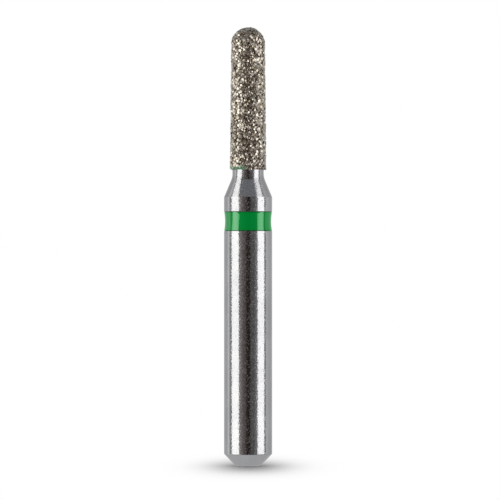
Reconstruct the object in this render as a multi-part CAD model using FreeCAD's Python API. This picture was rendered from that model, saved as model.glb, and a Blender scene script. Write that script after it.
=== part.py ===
import FreeCAD, Part
import math
import os
import random

# Dental bur with a friction-grip shank and a round-ended, slightly tapered
# diamond head. Millimetres, +Z up, origin at the centre of the shank's end face.

# Blank: one turned steel piece
shank_diameter = 1.60
shank_length = 8.94
end_flat_diameter = 0.84
end_chamfer_height = 0.40
end_edge_radius = 0.06
shoulder_half_angle = 23.0
shoulder_fillet_radius = 0.60
neck_diameter = 1.04

# Head: catalogue diameter over the crystals at its lower end, tapering upwards
head_diameter = 1.22
head_length = 4.75
head_taper_angle = 0.58
overall_length = 14.60

# Coating: a metal bond on the core, with one layer of crystals standing out of it
coating_thickness = 0.150
crystal_height = 0.045
crystal_height_spread = 0.012
crystal_pitch = 0.175
crystal_shift = 0.17
crystal_cut_off = 0.050
crystal_top_slope = 0.6
pointed_share = 0.45
crystal_seed = 12

# Colour band: lacquer in a shallow groove with a hollow floor, drawn in between its edges
band_start = 7.81
band_height = 0.65
band_recess = 0.006
band_waist_depth = 0.028
groove_wall = 0.055
groove_hollow = 0.050

SEW_TOLERANCE = 1e-6
HEX_ROW = math.sqrt(3) / 2
MINIMUM_RING_COUNT = 5
SLANT = FreeCAD.Vector(1, 2, 3)

# The head's outlines are offsets of one another: a straight taper at one angle,
# tangent to a sphere about one centre
taper = math.radians(head_taper_angle)
head_start = overall_length - head_length
tip_radius = (head_diameter / 2 * math.cos(taper) - head_length * math.sin(taper)) / (1 - math.sin(taper))
tip_centre = overall_length - tip_radius
bond_tip_radius = tip_radius - crystal_height
core_tip_radius = tip_radius - coating_thickness


def taper_radius(sphere_radius, z):
    """Radius at height z of the taper that is tangent to the sphere about the tip centre."""
    return (sphere_radius - (z - tip_centre) * math.sin(taper)) / math.cos(taper)


shank_radius = shank_diameter / 2
groove_radius = shank_radius - groove_wall
band_end = band_start + band_height
neck_radius = neck_diameter / 2
core_radius = taper_radius(core_tip_radius, head_start)
shoulder_end = shank_length + (shank_radius - neck_radius) / math.tan(math.radians(shoulder_half_angle))


def point(radius, z):
    """A point of a turned outline, in the plane Y = 0."""
    return FreeCAD.Vector(radius, 0, z)


def line(start, end):
    """Straight edge between two points."""
    return Part.LineSegment(start, end).toShape()


def rounded_outline(corners):
    """Edges through the corners (radius, z, corner radius), with an arc at each rounded one."""
    edges = []
    previous = point(*corners[0][:2])
    for (r0, z0, _), (r1, z1, blend), (r2, z2, _) in zip(corners, corners[1:], corners[2:]):
        corner = point(r1, z1)
        if blend == 0:
            edges.append(line(previous, corner))
            previous = corner
            continue
        back = (point(r0, z0) - corner).normalize()
        ahead = (point(r2, z2) - corner).normalize()
        half_angle = back.getAngle(ahead) / 2
        reach = blend / math.tan(half_angle)
        start = corner + back * reach
        end = corner + ahead * reach
        to_centre = (back + ahead).normalize()
        middle = corner + to_centre * (blend / math.sin(half_angle) - blend)
        edges.append(line(previous, start))
        edges.append(Part.Arc(start, middle, end).toShape())
        previous = end
    return edges + [line(previous, point(*corners[-1][:2]))]


def across_band(radius, hollow):
    """Arc from the band's lower edge to its upper one, drawn in by the hollow half-way."""
    middle = point(radius - hollow, (band_start + band_end) / 2)
    return Part.Arc(point(radius, band_start), middle, point(radius, band_end)).toShape()


def head_outline(sphere_radius):
    """Taper and round end of the head, from its lower end up to the pole."""
    tangent = point(sphere_radius * math.cos(taper), tip_centre + sphere_radius * math.sin(taper))
    halfway = (math.pi / 2 + taper) / 2
    middle = point(sphere_radius * math.cos(halfway), tip_centre + sphere_radius * math.sin(halfway))
    pole = point(0, tip_centre + sphere_radius)
    start = point(taper_radius(sphere_radius, head_start), head_start)
    return [line(start, tangent), Part.Arc(tangent, middle, pole).toShape()]


def core_outline():
    """Outline of the head's core, and its pole."""
    return head_outline(core_tip_radius), point(0, tip_centre + core_tip_radius)


def turn(edges):
    """Turn a closed outline about the part's axis."""
    return Part.Face(Part.Wire(edges)).revolve(point(0, 0), FreeCAD.Vector(0, 0, 1), 360)


def make_blank():
    """Steel blank: chamfered shank, groove for the band, shoulder, neck and core of the head."""
    below_band = rounded_outline([
        (0, 0, 0),
        (end_flat_diameter / 2, 0, end_edge_radius),
        (shank_radius, end_chamfer_height, end_edge_radius),
        (shank_radius, band_start, 0),
        (groove_radius, band_start, 0),
    ])
    above_band = rounded_outline([
        (groove_radius, band_end, 0),
        (shank_radius, band_end, 0),
        (shank_radius, shank_length, 0),
        (neck_radius, shoulder_end, shoulder_fillet_radius),
        (neck_radius, head_start, 0),
        (core_radius, head_start, 0),
    ])
    core, pole = core_outline()
    groove_floor = across_band(groove_radius, groove_hollow)
    return turn(below_band + [groove_floor] + above_band + core + [line(pole, point(0, 0))])


def make_band():
    """Lacquer ring that fills the groove up to its own, shallower hollow."""
    edge_radius = shank_radius - band_recess
    return turn([
        across_band(edge_radius, band_waist_depth),
        line(point(edge_radius, band_end), point(groove_radius, band_end)),
        across_band(groove_radius, groove_hollow),
        line(point(groove_radius, band_start), point(edge_radius, band_start)),
    ])


def bond_length():
    """Lengths along the bond's surface, of its taper and of all of it up to the pole."""
    tangent_height = tip_centre + bond_tip_radius * math.sin(taper)
    straight = (tangent_height - head_start) / math.cos(taper)
    return straight, straight + bond_tip_radius * (math.pi / 2 - taper)


def bond_place(distance):
    """Radius, height and slope of the bond's surface at a distance along it from its lower end."""
    straight, _ = bond_length()
    if distance < straight:
        z = head_start + distance * math.cos(taper)
        return taper_radius(bond_tip_radius, z), z, taper
    latitude = taper + (distance - straight) / bond_tip_radius
    radius = bond_tip_radius * math.cos(latitude)
    return radius, tip_centre + bond_tip_radius * math.sin(latitude), latitude


def on_bond(place):
    """Point of the bond's surface next to a place that lies a little below it."""
    flat = math.hypot(place.x, place.y)
    above_centre = place.z - tip_centre
    if above_centre > flat * math.tan(taper):
        scale = bond_tip_radius / math.hypot(flat, above_centre)
        return FreeCAD.Vector(place.x * scale, place.y * scale, tip_centre + above_centre * scale)
    scale = taper_radius(bond_tip_radius, place.z) / flat
    return FreeCAD.Vector(place.x * scale, place.y * scale, place.z)


class Crystal:
    """One crystal: its foot on the bond, the outward direction there, and its footprint."""

    def __init__(self, angle, distance):
        radius, z, slope = bond_place(distance)
        across = math.cos(slope)
        self.angle = angle
        self.outward = FreeCAD.Vector(across * math.cos(angle), across * math.sin(angle), math.sin(slope))
        self.foot = FreeCAD.Vector(radius * math.cos(angle), radius * math.sin(angle), z)
        self.footprint = []

    def corners(self):
        """Corners of the footprint, counter-clockwise round the outward direction."""
        side = self.outward.cross(SLANT).normalize()
        ahead = self.outward.cross(side)
        return sorted(
            self.footprint,
            key=lambda corner: math.atan2((corner - self.foot).dot(ahead), (corner - self.foot).dot(side)),
        )

    def faces(self, dice):
        """Side faces up to a point, or up to a sloping top that cuts the point off."""
        height = crystal_height + dice.uniform(-crystal_height_spread, crystal_height_spread)
        corners = self.corners()
        pairs = list(zip(corners, corners[1:] + corners[:1]))
        if dice.random() < pointed_share:
            peak = self.foot + self.outward * height
            return [flat_face([here, ahead, peak]) for here, ahead in pairs]
        peak = self.foot + self.outward * (height + crystal_cut_off)
        top_centre = self.foot + self.outward * height
        slope = self.outward.cross(FreeCAD.Vector(*(dice.uniform(-1, 1) for _ in range(3)))).normalize()
        normal = self.outward + slope * (dice.random() * crystal_top_slope * height / (crystal_pitch / 2))
        top = []
        for corner in corners:
            share = (top_centre - peak).dot(normal) / (corner - peak).dot(normal)
            top.append(peak + (corner - peak) * share)
        sides = zip(pairs, zip(top, top[1:] + top[:1]))
        return [flat_face(top)] + [
            flat_face([here, ahead, top_ahead, top_here])
            for (here, ahead), (top_here, top_ahead) in sides
        ]


def flat_face(points):
    """Flat face inside a closed run of points."""
    return Part.Face(Part.makePolygon(points + points[:1]))


def crystal_rings(dice):
    """Rings of crystals from the head's lower end upwards, and one crystal at the pole."""
    _, length = bond_length()
    count = round(length / (crystal_pitch * HEX_ROW))
    step = length / (count + 0.5)
    rings = []
    for row in range(count):
        distance = (row + 0.5) * step
        around = max(MINIMUM_RING_COUNT, round(2 * math.pi * bond_place(distance)[0] / crystal_pitch))
        spacing = 2 * math.pi / around
        rings.append([
            Crystal(
                spacing * (place + 0.5 * (row % 2) + dice.uniform(-crystal_shift, crystal_shift)),
                distance + step * dice.uniform(-crystal_shift, crystal_shift),
            )
            for place in range(around)
        ])
    return rings + [[Crystal(0, length)]]


def angle_of(ring, place):
    """Angle of a crystal in its ring, counted on past a full turn."""
    laps, index = divmod(place, len(ring))
    return ring[index].angle + 2 * math.pi * laps


def threes_between(lower, upper):
    """Neighbouring crystals of two rings, three by three, in order round the axis."""
    if len(upper) == 1:
        return [(lower[place - 1], lower[place], upper[0]) for place in range(len(lower))]
    threes = []
    low, high = 0, 0
    while low < len(lower) or high < len(upper):
        here = lower[low % len(lower)], upper[high % len(upper)]
        nearer = angle_of(lower, low + 1) < angle_of(upper, high + 1)
        if high == len(upper) or (low < len(lower) and nearer):
            low += 1
            threes.append(here + (lower[low % len(lower)],))
        else:
            high += 1
            threes.append(here + (upper[high % len(upper)],))
    return threes


def crystal_skin():
    """Faces of the crystals, which meet edge to edge, and the corners of the skin's lower rim."""
    dice = random.Random(crystal_seed)
    rings = crystal_rings(dice)
    for lower, upper in zip(rings, rings[1:]):
        for three in threes_between(lower, upper):
            corner = on_bond((three[0].foot + three[1].foot + three[2].foot) / 3)
            for crystal in three:
                crystal.footprint.append(corner)
    rim = []
    base = rings[0]
    rim_radius = bond_place(0)[0]
    for place, crystal in enumerate(base):
        angle = (angle_of(base, place) + angle_of(base, place + 1)) / 2
        rim.append(FreeCAD.Vector(rim_radius * math.cos(angle), rim_radius * math.sin(angle), head_start))
        crystal.footprint.append(rim[-1])
        base[(place + 1) % len(base)].footprint.append(rim[-1])
    return [face for ring in rings for crystal in ring for face in crystal.faces(dice)], rim


def make_coating():
    """Diamond coating: crystal skin with a flat rim below it, hollowed by the core of the head."""
    faces, rim = crystal_skin()
    skin = Part.makeCompound(faces + [flat_face(rim)])
    skin.sewShape(SEW_TOLERANCE)
    core, pole = core_outline()
    foot = point(0, head_start)
    bore = turn(core + [line(pole, foot), line(foot, point(core_radius, head_start))])
    return Part.Solid(skin.Shells[0]).cut(bore).Solids[0]


os.makedirs("parts", exist_ok=True)
make_blank().exportStep("parts/steel_blank.step")
make_band().exportStep("parts/colour_band.step")
make_coating().exportStep("parts/diamond_coating.step")
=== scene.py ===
import logging
import math
from dataclasses import dataclass
from enum import Enum
from typing import Any

import bpy
import numpy as np
from mathutils import Matrix, Vector


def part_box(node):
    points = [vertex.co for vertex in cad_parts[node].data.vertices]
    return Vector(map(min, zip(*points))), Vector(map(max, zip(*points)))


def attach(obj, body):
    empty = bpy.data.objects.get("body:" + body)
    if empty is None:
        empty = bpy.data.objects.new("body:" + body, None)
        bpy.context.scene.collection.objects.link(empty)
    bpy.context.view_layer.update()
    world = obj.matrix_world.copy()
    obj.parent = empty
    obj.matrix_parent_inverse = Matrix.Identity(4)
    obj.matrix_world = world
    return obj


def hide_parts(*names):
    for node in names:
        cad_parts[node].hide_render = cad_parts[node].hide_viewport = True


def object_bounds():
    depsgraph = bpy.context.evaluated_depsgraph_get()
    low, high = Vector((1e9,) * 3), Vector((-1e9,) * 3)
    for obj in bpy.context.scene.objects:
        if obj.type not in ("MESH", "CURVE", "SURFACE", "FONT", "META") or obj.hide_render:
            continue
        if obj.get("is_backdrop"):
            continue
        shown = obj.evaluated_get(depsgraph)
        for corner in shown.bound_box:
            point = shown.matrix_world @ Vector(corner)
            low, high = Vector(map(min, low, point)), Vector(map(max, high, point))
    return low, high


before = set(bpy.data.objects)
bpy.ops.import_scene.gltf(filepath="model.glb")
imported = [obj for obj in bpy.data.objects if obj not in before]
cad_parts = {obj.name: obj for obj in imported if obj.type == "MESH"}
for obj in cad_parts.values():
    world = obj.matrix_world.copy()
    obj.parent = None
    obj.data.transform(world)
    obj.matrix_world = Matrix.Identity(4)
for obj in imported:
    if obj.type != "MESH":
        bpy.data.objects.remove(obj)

Socket = bpy.types.NodeSocket
Colour = tuple[float, float, float]
Span = tuple[float, float]
Faces = list[list[int]]

LOG = logging.getLogger("dental_bur")
MM = 0.001
GOLDEN_ANGLE = math.pi * (3 - math.sqrt(5))
CRISP_ANGLE = math.radians(20)
TONE = "tone"
# Spans that hold the middle and nearly all of a noise's values
NOISE_MIDDLE = (0.35, 0.65)
NOISE_REACH = (0.3, 0.7)


class Facing(Enum):
    """How the faces of a piece meet in the light."""

    TURNED = "rounded, with a crisp edge at each sharp corner of the outline"
    ROUNDED = "rounded all over"
    CUT = "flat facets"


class Slot(Enum):
    """Material slots of the record."""

    STEEL = "ground_steel"
    LACQUER = "green_lacquer"
    GRIT = "diamond_grit"


# Forms


def rounded_outline(corners: list[tuple[float, float, float]], steps: int) -> np.ndarray:
    """Outline through corners, each rounded by an arc of its own radius.

    An arc of radius b in a corner of half angle h starts b / tan(h) before it and
    ends as far after it, about a centre b / sin(h) from the corner.

    Args:
        corners: (radius, height, corner radius) of each corner, in order.
        steps: spans of each arc.

    Returns:
        Rows of (radius, height).
    """
    points = [np.array([corners[0][:2]])]
    for before, (radius, height, blend), after in zip(corners, corners[1:], corners[2:]):
        corner = np.array([radius, height])
        if blend == 0:
            points.append(corner[None])
            continue
        back = np.array(before[:2]) - corner
        ahead = np.array(after[:2]) - corner
        back /= np.linalg.norm(back)
        ahead /= np.linalg.norm(ahead)
        half = math.acos(float(np.clip(back @ ahead, -1, 1))) / 2
        inward = (back + ahead) / np.linalg.norm(back + ahead)
        centre = corner + inward * blend / math.sin(half)
        start = corner + back * blend / math.tan(half) - centre
        end = corner + ahead * blend / math.tan(half) - centre
        sweep = math.pi - 2 * half
        share = np.linspace(0, 1, steps + 1)[:, None]
        arc = (np.sin((1 - share) * sweep) * start + np.sin(share * sweep) * end) / math.sin(sweep)
        points.append(centre + arc)
    points.append(np.array([corners[-1][:2]]))
    return np.vstack(points)


def refined(outline: np.ndarray, longest: float) -> np.ndarray:
    """Outline with its long spans divided evenly, none longer than the given length."""
    rows = [outline[:1]]
    for start, end in zip(outline, outline[1:]):
        parts = max(1, math.ceil(np.linalg.norm(end - start) / longest))
        rows.append(start + (end - start) * np.linspace(0, 1, parts + 1)[1:, None])
    return np.vstack(rows)


def turned_grid(outline: np.ndarray, segments: int, ring: bool = False) -> tuple[np.ndarray, Faces]:
    """Turn an outline about the Z axis.

    The surface is x = r cos a, y = r sin a, z = z, over the outline's places and the angles a.

    Args:
        outline: rows of (radius, height); a row of radius 0 becomes a pole.
        segments: spans round the axis.
        ring: joins the last row to the first.

    Returns:
        Vertices and faces.
    """
    angle = np.linspace(0, 2 * math.pi, segments, endpoint=False)
    radius, height = outline[:, :1], outline[:, 1:]
    level = np.broadcast_to(height, (len(outline), segments))
    vertices = np.stack([radius * np.cos(angle), radius * np.sin(angle), level], axis=-1).reshape(-1, 3)
    rows = np.arange(len(outline) * segments).reshape(len(outline), segments)
    if ring:
        rows = np.vstack([rows, rows[:1]])
    beside = np.roll(rows, -1, axis=1)
    quads = np.stack([rows[:-1], beside[:-1], beside[1:], rows[1:]], axis=-1)
    first_pole, last_pole = outline[0, 0] == 0, outline[-1, 0] == 0
    faces = quads[int(first_pole) : len(quads) - int(last_pole)].reshape(-1, 4).tolist()
    if first_pole:
        fan = quads[0][:, [0, 2, 3]].copy()
        fan[:, 0] = rows[0, 0]
        faces += fan.tolist()
    if last_pole:
        fan = quads[-1][:, [0, 1, 3]].copy()
        fan[:, 2] = rows[-1, 0]
        faces += fan.tolist()
    return vertices, faces


def outward_ways(latitude: np.ndarray, angle: np.ndarray) -> np.ndarray:
    """Directions in rows of (cos latitude cos angle, cos latitude sin angle, sin latitude)."""
    across = np.cos(latitude)
    return np.column_stack([across * np.cos(angle), across * np.sin(angle), np.sin(latitude)])


def chance_turns(dice: np.random.Generator, count: int) -> np.ndarray:
    """Turning matrices that favour no direction.

    Each is the matrix of a quaternion, four normal draws divided by their length.

    Args:
        dice: source of chance.
        count: how many.

    Returns:
        The matrices, one after another.
    """
    w, x, y, z = dice.normal(size=(4, count))
    norm = np.sqrt(w * w + x * x + y * y + z * z)
    w, x, y, z = w / norm, x / norm, y / norm, z / norm
    return np.array([
        [1 - 2 * (y * y + z * z), 2 * (x * y - w * z), 2 * (x * z + w * y)],
        [2 * (x * y + w * z), 1 - 2 * (x * x + z * z), 2 * (y * z - w * x)],
        [2 * (x * z - w * y), 2 * (y * z + w * x), 1 - 2 * (x * x + y * y)],
    ]).transpose(2, 0, 1)


def make_piece(name: str, vertices: np.ndarray, faces: Faces, facing: Facing) -> bpy.types.Object:
    """Make an object at the origin from vertices in millimetres.

    Args:
        name: name of the piece.
        vertices: rows of (x, y, z) in millimetres; those that no face uses are left out.
        faces: vertex numbers of each face, counter-clockwise seen from outside.
        facing: how the faces meet in the light.

    Returns:
        The object, linked to the scene.
    """
    mesh = bpy.data.meshes.new(name)
    used = np.unique(np.concatenate([np.asarray(face) for face in faces]))
    number = np.full(len(vertices), -1)
    number[used] = np.arange(len(used))
    mesh.from_pydata((vertices[used] * MM).tolist(), [], [number[face].tolist() for face in faces])
    mesh.update()
    mesh.polygons.foreach_set("use_smooth", np.full(len(mesh.polygons), facing is not Facing.CUT))
    if facing is Facing.TURNED:
        mesh.set_sharp_from_angle(angle=CRISP_ANGLE)
    piece = bpy.data.objects.new(name, mesh)
    bpy.context.scene.collection.objects.link(piece)
    return piece


def hand_over(piece: bpy.types.Object, node: str, material: bpy.types.Material) -> None:
    """Dress a piece, put it on the frame's one body and let it stand for a CAD node.

    Args:
        piece: the finished piece.
        node: CAD node that it stands for.
        material: its finish.
    """
    piece.data.materials.append(material)
    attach(piece, "root")
    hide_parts(node)
    piece.data.calc_loop_triangles()
    LOG.info("%s: %d triangles for %s", piece.name, len(piece.data.loop_triangles), node)


# Finishes


class Bench:
    """Puts together the nodes of one material or of the world, with lengths in millimetres."""

    def __init__(self, owner: bpy.types.Material | bpy.types.World) -> None:
        """Start on the owner's empty node tree."""
        owner.use_nodes = True
        self.owner = owner
        self.tree = owner.node_tree
        self.tree.nodes.clear()

    def add(self, kind: str, inputs: dict[str | int, Any] | None = None, **settings: Any) -> bpy.types.Node:
        """Add a node.

        Args:
            kind: the node's type, without its common first part.
            inputs: a socket to join or a value to set, by input; a colour has three numbers.
            **settings: the node's own properties.

        Returns:
            The node.
        """
        node = self.tree.nodes.new("ShaderNode" + kind)
        for name, value in settings.items():
            setattr(node, name, value)
        for key, value in (inputs or {}).items():
            socket = node.inputs[key]
            if isinstance(value, Socket):
                self.tree.links.new(value, socket)
            else:
                socket.default_value = (*value, 1) if socket.type == "RGBA" else value
        return node

    def place(self, stretch: tuple[float, float, float] = (1, 1, 1)) -> Socket:
        """Object coordinates in millimetres, times a stretch along each axis."""
        place = self.add("TexCoord").outputs["Object"]
        scale = [factor / MM for factor in stretch]
        return self.add("Mapping", {"Vector": place, "Scale": scale}).outputs["Vector"]

    def axes(self, vector: Socket) -> tuple[Socket, Socket, Socket]:
        """The three coordinates of a vector."""
        parts = self.add("SeparateXYZ", {"Vector": vector}).outputs
        return parts["X"], parts["Y"], parts["Z"]

    def bearing(self, x: Socket, y: Socket) -> Socket:
        """Angle round the axis from the front, in radians, positive to the right."""
        return self.sum("ARCTAN2", x, self.product(y, -1.0))

    def noise(self, vector: Socket, size: float, detail: float = 2.0, rough: float = 0.5) -> Socket:
        """Soft noise from 0 to 1 whose lumps have the given size."""
        inputs = {"Vector": vector, "Scale": 1 / size, "Detail": detail, "Roughness": rough}
        return self.add("TexNoise", inputs).outputs["Fac"]

    def cells(self, vector: Socket, size: float) -> bpy.types.Node:
        """Cells of the given size, with their distance, colour and place."""
        return self.add("TexVoronoi", {"Vector": vector, "Scale": 1 / size})

    def sum(self, operation: str, first: Any, second: Any = 0.0, clamp: bool = False) -> Socket:
        """Result of a sum of one or two numbers or sockets."""
        node = self.add("Math", {0: first, 1: second}, operation=operation, use_clamp=clamp)
        return node.outputs["Value"]

    def product(self, first: Any, *others: Any) -> Socket:
        """Product of numbers or sockets."""
        for other in others:
            first = self.sum("MULTIPLY", first, other)
        return first

    def span(self, value: Socket, start: Span, end: Span = (0.0, 1.0)) -> Socket:
        """Value carried from one span to another, softly and without leaving it."""
        inputs = {"Value": value, "From Min": start[0], "From Max": start[1]}
        inputs |= {"To Min": end[0], "To Max": end[1]}
        return self.add("MapRange", inputs, interpolation_type="SMOOTHSTEP").outputs["Result"]

    def blend(self, share: Socket, first: Any, second: Any) -> Socket:
        """Blend of two colours, all of the second where the share is 1."""
        return self.add("Mix", {"Factor": share, 6: first, 7: second}, data_type="RGBA").outputs[2]

    def ramp(self, value: Socket, stops: list[tuple[float, Colour]]) -> Socket:
        """Colour read off a run of stops."""
        node = self.add("ValToRGB", {"Fac": value})
        elements = node.color_ramp.elements
        while len(elements) < len(stops):
            elements.new(0.5)
        for element, (position, colour) in zip(elements, stops):
            element.position = position
            element.color = (*colour, 1)
        return node.outputs["Color"]

    def relief(self, height: Socket, depth: float) -> Socket:
        """Normal of a surface with a relief of that depth."""
        inputs = {"Height": height, "Distance": depth * MM, "Strength": 1.0}
        return self.add("Bump", inputs).outputs["Normal"]

    def finish(self, inputs: dict[str, Any]) -> bpy.types.Material:
        """The material, with a principled shader that has these inputs."""
        return self.done(self.add("BsdfPrincipled", inputs).outputs["BSDF"])

    def done(self, shader: Socket) -> bpy.types.Material | bpy.types.World:
        """The owner, with this shader as its surface."""
        kind = "OutputWorld" if isinstance(self.owner, bpy.types.World) else "OutputMaterial"
        self.add(kind, {"Surface": shader})
        return self.owner


@dataclass(frozen=True)
class GroundSteel:
    """Ground steel: bright, with a fine grain, faint lines round it, matt specks and pin-point pits."""

    colour: Colour = (0.616, 0.62, 0.637)
    shade: Colour = (0.556, 0.56, 0.582)
    shade_size: float = 0.9
    roughness: float = 0.08
    grain_size: float = 0.036
    grain_depth: float = 0.0016
    line_size: float = 0.6
    line_stretch: tuple[float, float, float] = (0.35, 0.35, 22.0)
    line_depth: float = 0.0003
    speck_size: float = 0.045
    speck_stretch: tuple[float, float, float] = (1.0, 1.0, 0.8)
    speck_levels: Span = (0.46, 0.72)
    speck_roughness: float = 0.30
    speck_dullness: float = 0.08
    pit_spacing: float = 0.26
    pit_radius: float = 0.022
    pit_softness: float = 0.3
    pit_share: float = 0.25
    pit_pick: float = 0.01
    pit_roughness: float = 0.5
    pit_dullness: float = 0.3

    def specks(self, bench: Bench) -> Socket:
        """How matt a place is, from 0 to 1."""
        specks = bench.noise(bench.place(self.speck_stretch), self.speck_size, detail=1.0, rough=0.6)
        return bench.span(specks, self.speck_levels)

    def pits(self, bench: Bench, place: Socket) -> Socket:
        """How far a place lies in a pit, from 0 to 1: a soft spot in each cell that its colour picks."""
        cells = bench.cells(place, self.pit_spacing)
        reach = self.pit_radius / self.pit_spacing
        edge = (reach * (1 - self.pit_softness), reach * (1 + self.pit_softness))
        inside = bench.span(cells.outputs["Distance"], edge, (1.0, 0.0))
        least = 1 - self.pit_share
        picked = bench.span(bench.axes(cells.outputs["Color"])[0], (least, least + self.pit_pick))
        return bench.product(inside, picked)

    def material(self) -> bpy.types.Material:
        """Steel with its relief and its uneven gloss."""
        bench = Bench(bpy.data.materials.new("ground_steel"))
        place = bench.place()
        grain = bench.noise(place, self.grain_size, detail=0.0)
        lines = bench.noise(bench.place(self.line_stretch), self.line_size, detail=3.0, rough=0.6)
        height = bench.sum("ADD", bench.product(lines, self.line_depth / self.grain_depth), grain)
        patches = bench.noise(place, self.shade_size, detail=4.0)
        specks = self.specks(bench)
        pits = self.pits(bench, place)
        matt = bench.span(specks, (0.0, 1.0), (self.roughness, self.speck_roughness))
        matt = bench.sum("MAXIMUM", matt, bench.product(pits, self.pit_roughness))
        dull = bench.product(specks, self.speck_dullness)
        dull = bench.sum("MAXIMUM", dull, bench.product(pits, self.pit_dullness))
        return bench.finish({
            "Base Color": bench.blend(bench.span(patches, NOISE_MIDDLE), self.colour, self.shade),
            "Metallic": bench.sum("SUBTRACT", 1.0, dull),
            "Roughness": matt,
            "Normal": bench.relief(height, self.grain_depth),
        })


@dataclass(frozen=True)
class GreenLacquer:
    """Glossy green lacquer, darker near its upper and lower edges, where it meets the steel.

    Its clear coat sets in beside the middle, weakens towards the sides, and is thinner on the right.
    """

    low: float
    high: float
    colour: Colour = (0.001, 0.24, 0.036)
    rim: Colour = (0.001, 0.09, 0.016)
    rim_span: Span = (0.012, 0.05)
    flow_size: float = 0.5
    flow_stretch: tuple[float, float, float] = (1.0, 1.0, 0.5)
    flow_shade: float = 0.12
    flow_depth: float = 0.002
    roughness: Span = (0.036, 0.046)
    index: float = 2.15
    sheen: Colour = (0.05, 0.95, 0.30)
    sheen_weight: float = 0.8
    sheen_roughness: float = 0.35
    coat_index: float = 1.97
    coat_roughness: float = 0.04
    coat_start: Span = (0.053, 0.14)
    coat_sides: Span = (0.19, 0.28)
    coat_at_sides: float = 0.42
    coat_right: Span = (-0.4, 0.4)
    coat_at_right: float = 0.74
    coat_right_edge: Span = (0.46, 0.54)
    coat_at_right_edge: float = 0.6

    def coat(self, bench: Bench, x: Socket) -> Socket:
        """Weight of the clear coat: by how far the surface turns away, and from left to right."""
        facing = bench.add("LayerWeight", {"Blend": 0.5}).outputs["Facing"]
        return bench.product(
            bench.span(facing, self.coat_start),
            bench.span(facing, self.coat_sides, (1.0, self.coat_at_sides)),
            bench.span(x, self.coat_right, (1.0, self.coat_at_right)),
            bench.span(x, self.coat_right_edge, (1.0, self.coat_at_right_edge)),
        )

    def material(self) -> bpy.types.Material:
        """Lacquer with darker rims, a little flow and a clear coat."""
        bench = Bench(bpy.data.materials.new("green_lacquer"))
        x, _, z = bench.axes(bench.place())
        flow = bench.noise(bench.place(self.flow_stretch), self.flow_size, detail=2.0)
        near, far = self.rim_span
        low_rim = bench.span(z, (self.low + near, self.low + far), (1.0, 0.0))
        high_rim = bench.span(z, (self.high - far, self.high - near))
        shaded = bench.span(flow, NOISE_MIDDLE, (0.0, self.flow_shade))
        body = bench.blend(shaded, self.colour, self.rim)
        return bench.finish({
            "Base Color": bench.blend(bench.sum("MAXIMUM", low_rim, high_rim), body, self.rim),
            "Roughness": bench.span(flow, NOISE_REACH, self.roughness),
            "IOR": self.index,
            "Specular Tint": self.sheen,
            "Coat Weight": self.coat(bench, x),
            "Coat Roughness": self.coat_roughness,
            "Coat IOR": self.coat_index,
            "Sheen Weight": self.sheen_weight,
            "Sheen Roughness": self.sheen_roughness,
            "Sheen Tint": self.sheen,
            "Normal": bench.relief(flow, self.flow_depth),
        })


@dataclass(frozen=True)
class LacquerSmear:
    """Trace of green lacquer on the lower rim of the grit, worn and with a torn upper edge.

    Bearings are in degrees from the front, positive to the right.
    """

    colour: Colour = (0.12, 0.29, 0.145)
    upper_edge: Span = (9.945, 9.975)
    tear_size: float = 0.06
    tear: float = 0.03
    wear_size: float = 0.045
    wear_levels: Span = (0.38, 0.5)
    worn_share: float = 0.7
    first_bearings: Span = (-83.0, -73.0)
    last_bearings: Span = (-14.0, -2.0)

    def share(self, bench: Bench, place: Socket) -> Socket:
        """How much lacquer covers a place: all of it below the upper edge and between the bearings."""
        x, y, z = bench.axes(place)
        bearing = bench.product(bench.bearing(x, y), 180 / math.pi)
        torn = bench.noise(place, self.tear_size, detail=1.0)
        level = bench.sum("ADD", z, bench.span(torn, NOISE_REACH, (-self.tear, self.tear)))
        wear = bench.noise(place, self.wear_size, detail=0.0)
        return bench.product(
            bench.span(level, self.upper_edge, (1.0, 0.0)),
            bench.span(wear, self.wear_levels, (self.worn_share, 1.0)),
            bench.span(bearing, self.first_bearings),
            bench.span(bearing, self.last_bearings, (1.0, 0.0)),
        )


@dataclass(frozen=True)
class NickelBond:
    """Plated nickel between the crystals: dull and warm; its dark colour is partly the nickel's and partly
    painted shade between the crystals.
    """

    # Both tones are dark partly to paint the shade between the crystals; the nodules blend them at random
    colour: Colour = (0.29, 0.225, 0.15)
    shade: Colour = (0.18, 0.14, 0.095)
    metal: float = 0.88
    roughness: Span = (0.69, 0.48)
    nodule_size: float = 0.03
    nodule_depth: float = 0.006

    def material(self, smear: LacquerSmear) -> bpy.types.Material:
        """Nickel with a fine nodular relief, dark partly as painted shade between the crystals, and lacquer
        where the smear lies.
        """
        bench = Bench(bpy.data.materials.new("nickel_bond_and_painted_shade"))
        place = bench.place()
        nodules = bench.noise(place, self.nodule_size, detail=3.0, rough=0.6)
        covered = smear.share(bench, place)
        # Nickel tones, dark partly as painted shade between the crystals
        nickel = bench.blend(bench.span(nodules, NOISE_MIDDLE), self.shade, self.colour)
        return bench.finish({
            "Base Color": bench.blend(covered, nickel, smear.colour),
            "Metallic": bench.product(bench.sum("SUBTRACT", 1.0, covered), self.metal),
            "Roughness": bench.span(nodules, NOISE_REACH, self.roughness),
            "Normal": bench.relief(nodules, self.nodule_depth),
        })


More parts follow.
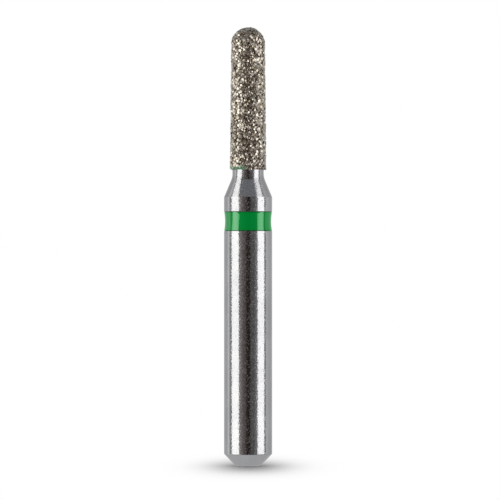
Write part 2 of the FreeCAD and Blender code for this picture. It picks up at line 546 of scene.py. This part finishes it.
@dataclass(frozen=True)
class DiamondGrit:
    """Diamond crystals in their nickel film: warm grey, each of its own tone, under clear hard faces."""

    pale: Colour = (0.79, 0.725, 0.625)
    deep: Colour = (0.40, 0.32, 0.215)
    metal: float = 0.97
    smeared_metal: float = 0.22
    roughness: Span = (0.144, 0.234)
    etch_size: float = 0.03
    etch_depth: float = 0.003
    etch_tone: float = 0.12
    face_index: float = 2.1
    face_roughness: float = 0.08

    def material(self, smear: LacquerSmear) -> bpy.types.Material:
        """Crystals with a tone each, a fine etch on their faces, and lacquer where the smear lies."""
        bench = Bench(bpy.data.materials.new("diamond_grit"))
        place = bench.place()
        etch = bench.noise(place, self.etch_size, detail=2.0)
        own_tone = bench.add("Attribute", attribute_name=TONE).outputs["Fac"]
        etched = bench.span(etch, NOISE_REACH, (-self.etch_tone, self.etch_tone))
        tone = bench.sum("ADD", own_tone, etched, clamp=True)
        covered = smear.share(bench, place)
        lost = bench.product(covered, self.metal - self.smeared_metal)
        return bench.finish({
            "Base Color": bench.blend(covered, bench.blend(tone, self.deep, self.pale), smear.colour),
            "Metallic": bench.sum("SUBTRACT", self.metal, lost),
            "Roughness": bench.span(etch, NOISE_REACH, self.roughness),
            "Coat Weight": 1.0,
            "Coat IOR": self.face_index,
            "Coat Roughness": self.face_roughness,
            "Normal": bench.relief(etch, self.etch_depth),
        })


# Sub-assemblies


@dataclass
class HeadForm:
    """Outline that the crystals of the head reach: a slight taper, tangent to a ball.

    The core follows it at its own depth inside.
    """

    start: float
    lower_diameter: float = 1.22
    taper_angle: float = 0.58
    top: float = 14.60
    core_depth: float = 0.15

    @property
    def taper(self) -> float:
        """Angle between the taper and the axis, in radians."""
        return math.radians(self.taper_angle)

    @property
    def tip_radius(self) -> float:
        """Radius of the ball.

        It is the lower radius times cos(taper), less the length times sin(taper), all over 1 - sin(taper).
        """
        lower = self.lower_diameter / 2 * math.cos(self.taper)
        return (lower - (self.top - self.start) * math.sin(self.taper)) / (1 - math.sin(self.taper))

    @property
    def tip_centre(self) -> float:
        """Height of the ball's centre."""
        return self.top - self.tip_radius

    def length(self, depth: float) -> float:
        """Length of the outline at a depth, from its lower end to the pole."""
        ball = self.tip_radius - depth
        straight = (self.tip_centre + ball * math.sin(self.taper) - self.start) / math.cos(self.taper)
        return straight + ball * (math.pi / 2 - self.taper)

    def at(self, depth: float, distance: np.ndarray) -> tuple[np.ndarray, np.ndarray, np.ndarray]:
        """Places along the outline at a depth below the crystals' reach.

        On the taper, height grows by distance times cos(taper) and the radius falls with it by the
        sine; past the tangent point the latitude grows by distance over the ball's radius.

        Args:
            depth: how far below the crystals' reach.
            distance: length along the outline from its lower end.

        Returns:
            Radius, height and latitude of the outward direction.
        """
        ball = self.tip_radius - depth
        straight = self.length(depth) - ball * (math.pi / 2 - self.taper)
        on_taper = distance < straight
        latitude = np.where(on_taper, self.taper, self.taper + (distance - straight) / ball)
        on_ball = self.tip_centre + ball * np.sin(latitude)
        height = np.where(on_taper, self.start + distance * math.cos(self.taper), on_ball)
        slant = (ball - (height - self.tip_centre) * math.sin(self.taper)) / math.cos(self.taper)
        radius = np.where(on_taper, slant, ball * np.cos(latitude))
        return radius, height, latitude


@dataclass
class SteelBlank:
    """Turned and ground blank: shank with its chamfer, groove, land, shoulder, neck and core."""

    band_low: float
    band_high: float
    shank_diameter: float = 1.60
    shank_length: float = 8.94
    end_flat_diameter: float = 0.84
    end_chamfer_height: float = 0.40
    end_edge_radius: float = 0.06
    end_corner_radius: float = 0.16
    shoulder_half_angle: float = 23.0
    shoulder_fillet_radius: float = 0.60
    shoulder_edge_radius: float = 0.02
    groove_depth: float = 0.075
    groove_edge_radius: float = 0.006
    neck_diameter: float = 1.04
    arc_steps: int = 8
    longest_span: float = 0.25
    core_rows: int = 40
    segments: int = 256

    def outline(self, head: HeadForm) -> np.ndarray:
        """Outline from the centre of the end face up to the core's pole."""
        shank = self.shank_diameter / 2
        neck = self.neck_diameter / 2
        rise = (shank - neck) / math.tan(math.radians(self.shoulder_half_angle))
        floor = shank - self.groove_depth
        distance = np.linspace(0, head.length(head.core_depth), self.core_rows)
        radius, height, _ = head.at(head.core_depth, distance)
        corners = [
            (0.0, 0.0, 0.0),
            (self.end_flat_diameter / 2, 0.0, self.end_corner_radius),
            (shank, self.end_chamfer_height, self.end_edge_radius),
            (shank, self.band_low, self.groove_edge_radius),
            (floor, self.band_low, 0.0),
            (floor, self.band_high, 0.0),
            (shank, self.band_high, self.groove_edge_radius),
            (shank, self.shank_length, self.shoulder_edge_radius),
            (neck, self.shank_length + rise, self.shoulder_fillet_radius),
            (neck, head.start, 0.0),
            (radius[0], head.start, 0.0),
        ]
        core = np.column_stack([radius, height])[1:]
        core[-1, 0] = 0.0
        return np.vstack([refined(rounded_outline(corners, self.arc_steps), self.longest_span), core])

    def build(self, head: HeadForm, finish: GroundSteel) -> None:
        """Make the blank and dress it."""
        vertices, faces = turned_grid(self.outline(head), self.segments)
        piece = make_piece("bur_blank", vertices, faces, Facing.TURNED)
        hand_over(piece, "steel_blank", finish.material())


@dataclass
class ColourBand:
    """Ring of lacquer in the groove, drawn in between its edges, with a hair gap at each."""

    low: float
    high: float
    shank_diameter: float
    recess: float = 0.006
    waist_depth: float = 0.028
    rim_width: float = 0.018
    rim_depth: float = 0.020
    inner_depth: float = 0.07
    face_rows: int = 25
    segments: int = 256

    def outline(self) -> np.ndarray:
        """Closed outline: its hollow face is the edge less waist times (1 - u squared), u from -1 to 1."""
        edge = self.shank_diameter / 2 - self.recess
        inner = self.shank_diameter / 2 - self.inner_depth
        gap = edge - self.rim_depth
        u = np.linspace(-1, 1, self.face_rows)
        middle, half = (self.low + self.high) / 2, (self.high - self.low) / 2 - self.rim_width
        face = np.column_stack([edge - self.waist_depth * (1 - u**2), middle + half * u])
        low_side = [[inner, self.low], [gap, self.low]]
        high_side = [[gap, self.high], [inner, self.high]]
        return np.vstack([low_side, face, high_side])

    def build(self, finish: GreenLacquer) -> None:
        """Make the ring and dress it."""
        vertices, faces = turned_grid(self.outline(), self.segments, ring=True)
        piece = make_piece("lacquer_ring", vertices, faces, Facing.TURNED)
        hand_over(piece, "colour_band", finish.material())


@dataclass
class DiamondCoating:
    """Layer of crystals on the head, sunk in a plated bond."""

    bond_depth: float = 0.052
    bond_unevenness: float = 0.007
    bond_waves: int = 8
    bond_wave_lengths: Span = (0.1, 0.3)
    bond_rows: int = 220
    inner_rows: int = 30
    bond_segments: int = 256
    area_steps: int = 4000
    pitch: float = 0.117
    jitter: float = 0.24
    half_width: float = 0.061
    half_width_spread: float = 0.016
    flatness: float = 0.53
    least_cut: float = 0.53
    most_cut: float = 0.86
    squash: float = 0.22
    reach_spread: float = 0.012
    reach_range: Span = (-1.0, 0.6)
    rim_rise: float = 0.03
    rim_flare: float = 0.018
    rim_height: float = 0.09
    tone_shape: Span = (1.0, 0.8)
    seed: int = 9

    def bond(self, head: HeadForm) -> tuple[np.ndarray, Faces]:
        """Bond between the crystals.

        The surface lies at the bond's depth, moved outwards by half a sum of sine waves that
        each run in their own direction; it closes inwards under its lower end.

        Args:
            head: form of the head.

        Returns:
            Vertices and faces.
        """
        distance = np.linspace(0, head.length(self.bond_depth), self.bond_rows)
        radius, height, latitude = head.at(self.bond_depth, distance)
        distance = np.linspace(head.length(head.core_depth), 0, self.inner_rows)
        inner_radius, inner_height, _ = head.at(head.core_depth, distance)
        radius[-1] = inner_radius[0] = 0.0
        outer = np.column_stack([radius, height])
        inner = np.column_stack([inner_radius, inner_height])
        outline = np.vstack([inner, outer])
        vertices, faces = turned_grid(outline, self.bond_segments)
        dice = np.random.default_rng(self.seed)
        ways = dice.normal(size=(self.bond_waves, 3))
        wave_length = dice.uniform(*self.bond_wave_lengths, (self.bond_waves, 1))
        ways *= (2 * math.pi / wave_length) / np.linalg.norm(ways, axis=1, keepdims=True)
        waves = np.sin(vertices @ ways.T + dice.uniform(0, 2 * math.pi, self.bond_waves)).sum(axis=1) / 2
        slope = np.repeat(np.concatenate([np.zeros(len(inner)), latitude]), self.bond_segments)
        outward = outward_ways(slope, np.arctan2(vertices[:, 1], vertices[:, 0]))
        wavy = np.arange(len(outline)) > len(inner)
        wavy[-1] = False
        moved = self.bond_unevenness * waves * np.repeat(wavy, self.bond_segments)
        return vertices + outward * moved[:, None], faces

    def places(self, head: HeadForm, dice: np.random.Generator) -> tuple[np.ndarray, np.ndarray]:
        """Places of the crystals on the surface that they reach.

        They follow a spiral: each is a golden angle on from the last, at the distance along the
        outline below which its share of the whole area lies, and is then moved a little.

        Args:
            head: form of the head.
            dice: source of chance.

        Returns:
            Places and outward directions.
        """
        fine = np.linspace(self.rim_rise, head.length(0), self.area_steps)
        radius = head.at(0, fine)[0]
        area = np.concatenate([[0], np.cumsum(math.pi * (radius[1:] + radius[:-1]) * np.diff(fine))])
        count = round(area[-1] / (self.pitch**2 * math.sqrt(3) / 2))
        number = np.arange(count)
        radius, height, latitude = head.at(0, np.interp((number + 0.5) / count * area[-1], area, fine))
        angle = GOLDEN_ANGLE * number
        outward = outward_ways(latitude, angle)
        places = np.column_stack([radius * np.cos(angle), radius * np.sin(angle), height])
        shift = dice.uniform(-1, 1, (count, 3)) * self.jitter * self.pitch
        shift -= outward * (shift * outward).sum(axis=1, keepdims=True)
        return places + shift, outward

    @staticmethod
    def crystal_pattern() -> tuple[np.ndarray, np.ndarray, Faces]:
        """Corners and faces of an octahedron with its six tips cut off.

        Its corners are all the orders and signs of (cut, 1 - cut, 0): six cut faces of four
        corners and eight faces of six.

        Returns:
            The share of each coordinate that goes with the cut, the share that goes with
            one less the cut, and the faces.
        """
        orders = [(i, j) for i in range(3) for j in range(3) if i != j]
        corners = [(i, j, s, t) for i, j in orders for s in (-1, 1) for t in (-1, 1)]
        cut = np.zeros((len(corners), 3))
        rest = np.zeros((len(corners), 3))
        for row, (i, j, s, t) in enumerate(corners):
            cut[row, i] = s
            rest[row, j] = t
        # One sample crystal shows which corners each face has
        sample = 0.7 * cut + 0.3 * rest
        ways = [np.eye(3)[i] * s for i in range(3) for s in (-1, 1)]
        ways += [np.array([a, b, c]) / math.sqrt(3) for a in (-1, 1) for b in (-1, 1) for c in (-1, 1)]
        aslant = [0.3, 0.5, 0.8]
        faces = []
        for way in ways:
            reach = sample @ way
            members = np.flatnonzero(reach > reach.max() - 1e-6)
            side = np.cross(way, aslant)
            ahead = np.cross(way, side)
            turn = np.arctan2(sample[members] @ ahead, sample[members] @ side)
            faces.append(members[np.argsort(turn)].tolist())
        return cut, rest, faces

    def crystals(self, head: HeadForm) -> tuple[np.ndarray, Faces, np.ndarray]:
        """All the crystals, each turned, cut and stretched its own way.

        Each crystal is moved along its outward direction until its furthest corner lies at its own
        reach, which grows at the lower rim as e to the power of minus the height over the rim's height.

        Args:
            head: form of the head.

        Returns:
            Vertices, faces, and the tone of each vertex.
        """
        dice = np.random.default_rng(self.seed)
        places, outward = self.places(head, dice)
        count = len(places)
        cut_share, rest_share, pattern = self.crystal_pattern()
        corners = len(cut_share)
        cut = dice.uniform(self.least_cut, self.most_cut, (count, 1, 1))
        shape = cut * cut_share + (1 - cut) * rest_share
        width = self.half_width + self.half_width_spread * dice.uniform(-1, 1, (count, 1, 1))
        shape *= width / cut * dice.uniform(1 - self.squash, 1 + self.squash, (count, 1, 3))
        shape = shape @ chance_turns(dice, count).transpose(0, 2, 1)
        rise = shape @ outward[:, :, None]
        shape = shape - (1 - self.flatness) * rise * outward[:, None, :]
        support = (shape @ outward[:, :, None]).max(axis=1)
        reach = self.reach_spread * dice.uniform(*self.reach_range, (count, 1))
        reach += self.rim_flare * np.exp(-(places[:, 2:] - head.start) / self.rim_height)
        centres = places + outward * (reach - support)
        vertices = (shape + centres[:, None, :]).reshape(-1, 3)
        firsts = range(0, corners * count, corners)
        faces = [[first + corner for corner in face] for first in firsts for face in pattern]
        tone = np.repeat(dice.beta(*self.tone_shape, count), corners)
        return vertices, faces, tone

    def build(self, head: HeadForm, bond: NickelBond, grit: DiamondGrit, smear: LacquerSmear) -> None:
        """Make the bond and the crystals and dress them."""
        vertices, faces = self.bond(head)
        skin = make_piece("bond_skin", vertices, faces, Facing.ROUNDED)
        hand_over(skin, "diamond_coating", bond.material(smear))
        vertices, faces, tone = self.crystals(head)
        crystals = make_piece("grit_crystals", vertices, faces, Facing.CUT)
        crystals.data.attributes.new(TONE, "FLOAT", "POINT").data.foreach_set("value", tone)
        hand_over(crystals, "diamond_coating", grit.material(smear))


# Studio


@dataclass
class SoftBox:
    """Upright flat soft light beside the bur, its top leaning back.

    Angles are in degrees, and bearings count from the camera, positive to the right.
    """

    name: str
    bearings: Span
    elevations: Span
    lean: float
    radiance: float
    colour: Colour
    distance: float = 300.0

    def build(self, target: Vector) -> None:
        """Hang the lamp so that it covers its bearings at the target's height, and its elevations."""
        bearing = math.radians(sum(self.bearings) / 2)
        spread = math.radians(self.bearings[1] - self.bearings[0]) / 2
        bottom, top = (math.tan(math.radians(angle)) for angle in self.elevations)
        lean = math.radians(self.lean)
        away = Vector((math.sin(bearing), -math.cos(bearing), 0))
        back = Vector((math.cos(bearing), math.sin(bearing), 0)) * math.copysign(1, bearing)
        up = Vector((0, 0, 1))
        light = bpy.data.lights.new(self.name, "AREA")
        light.shape = "RECTANGLE"
        light.color = self.colour
        light.size = 2 * self.distance * MM * math.tan(spread) * math.cos(lean)
        light.size_y = (top - bottom) * self.distance * MM / math.cos(lean)
        light.energy = self.radiance * math.pi * light.size * light.size_y
        middle = (top + bottom) / 2
        lamp = bpy.data.objects.new(self.name, light)
        way = away + up * middle + back * (middle * math.tan(lean))
        lamp.location = target + way * (self.distance * MM)
        long_side = up * math.cos(lean) + back * math.sin(lean)
        lamp.rotation_mode = "QUATERNION"
        sides = Matrix((long_side.cross(away), long_side, away)).transposed()
        lamp.rotation_quaternion = sides.to_quaternion()
        bpy.context.scene.collection.objects.link(lamp)


def soft_boxes() -> list[SoftBox]:
    """A tall soft box on each side, with a dimmer one on top of it."""
    ivory, lilac = (1.0, 0.99, 0.95), (1.0, 0.985, 0.98)
    return [
        SoftBox("left_soft_box", (-85.8, -45.5), (-18, 26), lean=12, radiance=1.45, colour=ivory),
        SoftBox("left_soft_box_top", (-86, -48), (26, 44), lean=12, radiance=1.28, colour=ivory),
        SoftBox("right_soft_box", (47, 83.7), (-15.8, 26), lean=0, radiance=1.43, colour=lilac),
        SoftBox("right_soft_box_top", (47, 85.5), (26, 43), lean=0, radiance=1.06, colour=lilac),
    ]


@dataclass
class StudioTent:
    """Grey studio round the bur that only its gloss shows: dark behind the camera, paler elsewhere.

    The walls have rows of bearing in degrees, grey and warmth, and are dimmed above the upper
    elevations. The ceiling takes over between its own elevations, and the ground as far below.
    """

    radius: float = 500.0
    rows: int = 33
    segments: int = 64
    ceiling: Colour = (0.192, 0.197, 0.206)
    ceiling_elevations: Span = (36.0, 46.0)
    ground: Colour = (0.545, 0.545, 0.545)
    upper_dimming: float = 0.18
    upper_elevations: Span = (6.0, 18.0)
    walls: tuple[tuple[float, float, float], ...] = (
        (-180, 0.50, 0.0),
        (-140, 0.50, 0.0),
        (-118, 0.52, 0.0),
        (-108, 0.88, 0.0),
        (-101, 0.46, 0.0),
        (-95, 0.32, 0.0),
        (-87, 0.18, 0.0),
        (-45, 0.15, 0.0),
        (-38, 0.25, 0.10),
        (-26, 0.12, 0.20),
        (-19, 0.09, 0.26),
        (-12.5, 0.085, 0.26),
        (-7.5, 0.023, 0.34),
        (8.5, 0.018, 0.34),
        (13, 0.098, 0.10),
        (29, 0.10, 0.03),
        (38, 0.20, 0.02),
        (46, 0.24, 0.0),
        (50, 0.15, 0.0),
        (86, 0.21, 0.0),
        (93, 0.27, 0.0),
        (98, 0.68, 0.0),
        (106, 0.56, 0.0),
        (120, 0.50, 0.0),
        (139, 0.46, 0.0),
        (154, 0.56, 0.0),
        (180, 0.50, 0.0),
    )

    def build(self, centre: Vector) -> None:
        """Put the tent up as a ball about the centre: radius times (cos latitude, sin latitude), turned."""
        latitude = np.linspace(-math.pi / 2, math.pi / 2, self.rows)
        outline = self.radius * np.column_stack([np.cos(latitude), np.sin(latitude)])
        outline[[0, -1], 0] = 0.0
        vertices, faces = turned_grid(outline, self.segments)
        tent = make_piece("studio_tent", vertices, faces, Facing.ROUNDED)
        tent.location = centre
        tent.visible_camera = False
        tent.visible_diffuse = False
        tent.visible_shadow = False
        tent.visible_volume_scatter = False
        tent.data.materials.append(self.material())
        tent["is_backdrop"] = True

    def heights(self, elevations: Span) -> Span:
        """Heights on the tent at two elevations in degrees."""
        low, high = (self.radius * math.sin(math.radians(elevation)) for elevation in elevations)
        return low, high

    @staticmethod
    def warmed(grey: float, warmth: float) -> Colour:
        """Grey with more red and a quarter as much less blue."""
        return grey * (1 + warmth), grey, grey * (1 - warmth / 4)

    def material(self) -> bpy.types.Material:
        """Light of the walls by bearing, and the ceiling's and the ground's by elevation."""
        bench = Bench(bpy.data.materials.new("studio_tent"))
        x, y, z = bench.axes(bench.place())
        turn = bench.sum("ADD", bench.product(bench.bearing(x, y), 0.5 / math.pi), 0.5)
        stops = [((bearing + 180) / 360, self.warmed(grey, warmth)) for bearing, grey, warmth in self.walls]
        dimmed = bench.span(z, self.heights(self.upper_elevations), (0.0, self.upper_dimming))
        colour = bench.blend(dimmed, bench.ramp(turn, stops), (0.0, 0.0, 0.0))
        low, high = self.heights(self.ceiling_elevations)
        colour = bench.blend(bench.span(z, (low, high)), colour, self.ceiling)
        colour = bench.blend(bench.span(z, (-high, -low), (1.0, 0.0)), colour, self.ground)
        return bench.done(bench.add("Emission", {"Color": colour, "Strength": 1.0}).outputs["Emission"])


@dataclass
class Floor:
    """Floor with a painted shadow: a matt grey soft oval about the bur's foot, which also catches the bur's
    real shadow, and is clear beyond.
    """

    radius: float = 12.0
    rows: int = 13
    segments: int = 64
    drop: float = 0.002
    # Grey of the painted shadow oval
    colour: Colour = (0.40, 0.40, 0.40)
    # Widths of the painted shadow oval across and along the view, and how far its middle lies towards the
    # camera and to the right
    across: float = 0.92
    along: float = 2.6
    ahead: float = 0.3
    aside: float = 0.05

    def build(self) -> None:
        """Lay the floor: a disc a hair below the bur's end."""
        outline = np.column_stack([np.linspace(self.radius, 0, self.rows), np.full(self.rows, -self.drop)])
        vertices, faces = turned_grid(outline, self.segments)
        floor = make_piece("floor", vertices, faces, Facing.ROUNDED)
        floor.data.materials.append(self.material())
        floor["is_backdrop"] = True

    def material(self) -> bpy.types.Material:
        """Painted shadow: matt grey by a bell, e to the power of minus half the squared distance in widths.
        """
        bench = Bench(bpy.data.materials.new("floor"))
        x, y, _ = bench.axes(bench.place())
        x = bench.sum("DIVIDE", bench.sum("SUBTRACT", x, self.aside), self.across)
        y = bench.sum("DIVIDE", bench.sum("ADD", y, self.ahead), self.along)
        squares = bench.sum("ADD", bench.product(x, x), bench.product(y, y))
        # The bell is a painted shadow under the bur, not one cast by the lamps
        painted_shadow = bench.sum("EXPONENT", bench.product(squares, -0.5))
        seen = bench.product(painted_shadow, bench.add("LightPath").outputs["Is Camera Ray"])
        matt = bench.add("BsdfDiffuse", {"Color": self.colour}).outputs["BSDF"]
        clear = bench.add("BsdfTransparent").outputs["BSDF"]
        return bench.done(bench.add("MixShader", {0: seen, 1: clear, 2: matt}).outputs["Shader"])


@dataclass
class WhiteGround:
    """White all round: full white where it is seen, plain where it lights."""

    light: float = 0.65

    def build(self) -> None:
        """Make the world, of strength 1 for camera, glossy and transmitted rays and plain for the rest."""
        world = bpy.data.worlds.new("white_ground")
        bpy.context.scene.world = world
        bench = Bench(world)
        ray = bench.add("LightPath").outputs
        seen = bench.sum("MAXIMUM", ray["Is Camera Ray"], ray["Is Glossy Ray"])
        seen = bench.sum("MAXIMUM", seen, ray["Is Transmission Ray"])
        level = bench.span(seen, (0.0, 1.0), (self.light, 1.0))
        ground = bench.add("Background", {"Color": (1.0, 1.0, 1.0), "Strength": level})
        bench.done(ground.outputs["Background"])


@dataclass
class ProductCamera:
    """Level camera in front of the bur, with a long lens."""

    distance: float = 120.0
    height: float = 7.18
    aside: float = 0.063
    lens: float = 259.7
    sensor: float = 36.0
    nearest: float = 1.0
    furthest: float = 10000.0

    def build(self) -> None:
        """Set up the camera and make it the scene's."""
        data = bpy.data.cameras.new("camera")
        data.lens = self.lens
        data.sensor_width = self.sensor
        data.clip_start = self.nearest * MM
        data.clip_end = self.furthest * MM
        camera = bpy.data.objects.new("camera", data)
        camera.location = (self.aside * MM, -self.distance * MM, self.height * MM)
        camera.rotation_euler = (math.pi / 2, 0, 0)
        bpy.context.scene.collection.objects.link(camera)
        bpy.context.scene.camera = camera


def main() -> None:
    """Build the bur and its studio."""
    logging.basicConfig(level=logging.INFO, format="%(message)s")
    cad_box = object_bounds()
    band_low, band_high = (corner.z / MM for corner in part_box("colour_band"))
    head = HeadForm(start=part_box("diamond_coating")[0].z / MM)
    blank = SteelBlank(band_low, band_high)
    blank.build(head, GroundSteel())
    ColourBand(band_low, band_high, blank.shank_diameter).build(GreenLacquer(band_low, band_high))
    DiamondCoating().build(head, NickelBond(), DiamondGrit(), LacquerSmear())
    middle = (cad_box[0] + cad_box[1]) / 2
    for soft_box in soft_boxes():
        soft_box.build(middle)
    StudioTent().build(middle)
    Floor().build()
    WhiteGround().build()
    ProductCamera().build()
    bpy.context.scene.view_settings.view_transform = "Standard"


if __name__ == "__main__":
    main()
